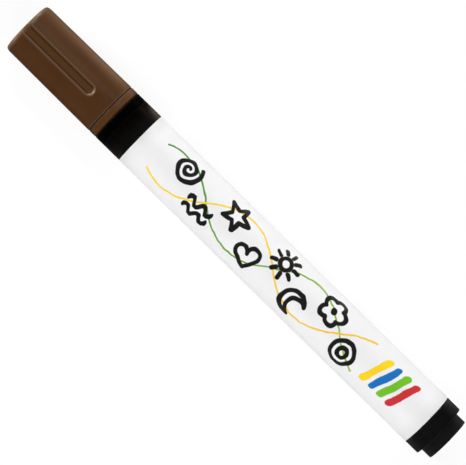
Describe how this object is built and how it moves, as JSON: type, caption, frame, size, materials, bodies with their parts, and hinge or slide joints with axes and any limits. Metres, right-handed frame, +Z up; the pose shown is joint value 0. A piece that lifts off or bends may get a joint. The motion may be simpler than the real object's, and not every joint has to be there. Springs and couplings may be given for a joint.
{
  "type": "liquid chalk marker",
  "caption": "Capped round marker for liquid chalk: brown pull-off cap, black barrel with a white printed label, stepped tail plug, and a spring valve that feeds a bullet nib.",
  "frame": {"origin": "on the surface that the pen lies on, under the middle of its length", "axes": "+X along the pen's axis towards the cap, +Z up, the cap's finger groove facing +Z"},
  "size_m": [0.14, 0.0144, 0.0144],
  "materials": {
    "cap_brown": "satin moulded polypropylene, brown",
    "barrel_black": "satin moulded plastic, black",
    "nozzle_black": "glossy moulded plastic, black",
    "label_film": "satin white printed film",
    "nib_fibre": "pressed white fibre",
    "liner_white": "natural soft polyethylene",
    "valve_white": "natural moulded plastic",
    "seal_rubber": "soft black rubber",
    "steel": "bright stainless steel"
  },
  "bodies": {
    "pen": {"barrel": "barrel_black", "label": "label_film", "tail_plug": "barrel_black", "nozzle": "nozzle_black", "colour_ring": "cap_brown", "valve_gasket": "seal_rubber", "valve_housing": "valve_white", "valve_retainer": "valve_white", "valve_spring": "steel"},
    "cap": {"cap": "cap_brown", "cap_liner": "liner_white"},
    "pump": {"nib": "nib_fibre", "valve_stem": "valve_white", "valve_seal": "seal_rubber"},
    "ball": {"mixing_ball": "steel"}
  },
  "joints": [
    {"name": "cap_pull", "type": "slide", "parent": "pen", "child": "cap", "axis": [1, 0, 0], "range_m": [0, 0.045]},
    {"name": "nib_press", "type": "slide", "parent": "pen", "child": "pump", "axis": [-1, 0, 0], "range_m": [0, 0.0025], "stiffness_N_per_m": 1000, "springref_m": -0.0015, "deforming": ["valve_spring"]},
    {"name": "ball_roll", "type": "slide", "parent": "pen", "child": "ball", "axis": [1, 0, 0], "range_m": [0, 0.0712]}
  ]
}
